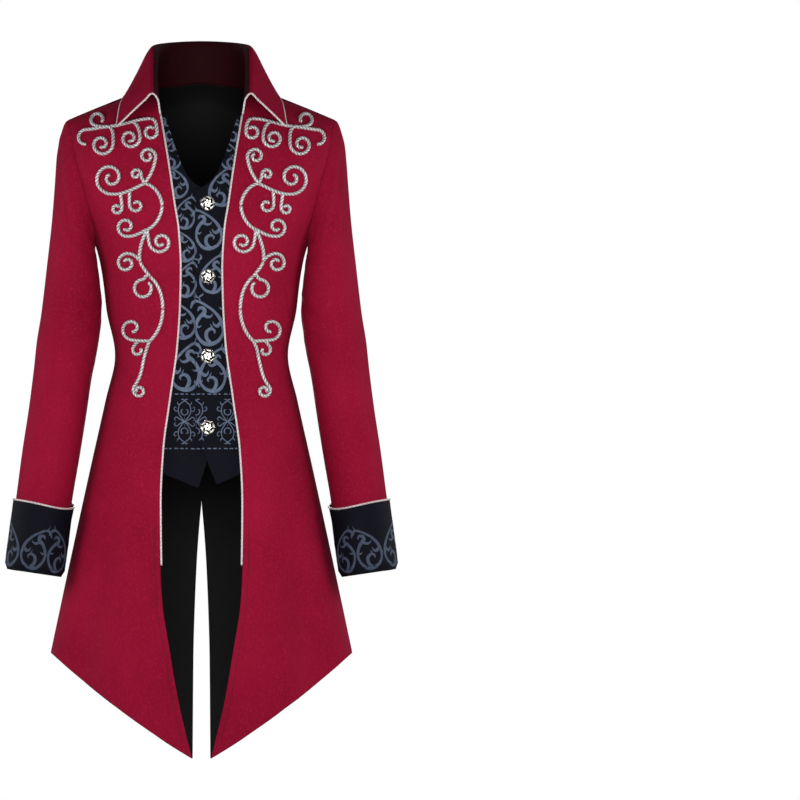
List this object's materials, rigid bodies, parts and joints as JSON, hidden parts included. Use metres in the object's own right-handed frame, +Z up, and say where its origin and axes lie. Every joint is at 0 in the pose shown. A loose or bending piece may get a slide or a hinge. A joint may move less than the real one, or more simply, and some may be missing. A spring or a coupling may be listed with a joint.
{
  "type": "tailcoat with a false waistcoat front",
  "caption": "Long-sleeved tailcoat in the hollow shape it has when worn, with a standing collar, brocade cuffs, a false waistcoat front and cord scrollwork.",
  "frame": {"origin": "middle of the neck, level with the inner ends of the shoulder seams, where the wearer's shoulders carry the coat", "axes": "+Z up towards the top of the collar, -Y the way the coat faces, +X to the wearer's left"},
  "size_m": [0.589, 0.3372, 1.0746],
  "materials": {
    "coat_cloth": "crimson plain cloth, soft sheen",
    "brocade": "near-black woven brocade with slate-blue leaf scrolls",
    "lining": "black smooth lining",
    "silver_cord": "silver-white twisted cord",
    "silver": "bright silver openwork, darkened in its hollows"
  },
  "bodies": {
    "root": {"back": "coat_cloth", "back_lining": "lining", "back_side_left": "coat_cloth", "back_side_right": "coat_cloth", "button_1": "silver", "button_2": "silver", "button_3": "silver", "button_4": "silver", "collar": "coat_cloth", "cuff_left": "brocade", "cuff_right": "brocade", "front_left": "coat_cloth", "front_right": "coat_cloth", "piping_collar": "silver_cord", "piping_cuff_left": "silver_cord", "piping_cuff_right": "silver_cord", "piping_front_left": "silver_cord", "piping_front_right": "silver_cord", "scrolls_back": "silver_cord", "scrolls_chest_left": "silver_cord", "scrolls_chest_right": "silver_cord", "scrolls_shoulder_left": "silver_cord", "scrolls_shoulder_right": "silver_cord", "sleeve_left": "coat_cloth", "sleeve_right": "coat_cloth", "waistcoat_left": "brocade", "waistcoat_right": "brocade"}
  },
  "joints": []
}
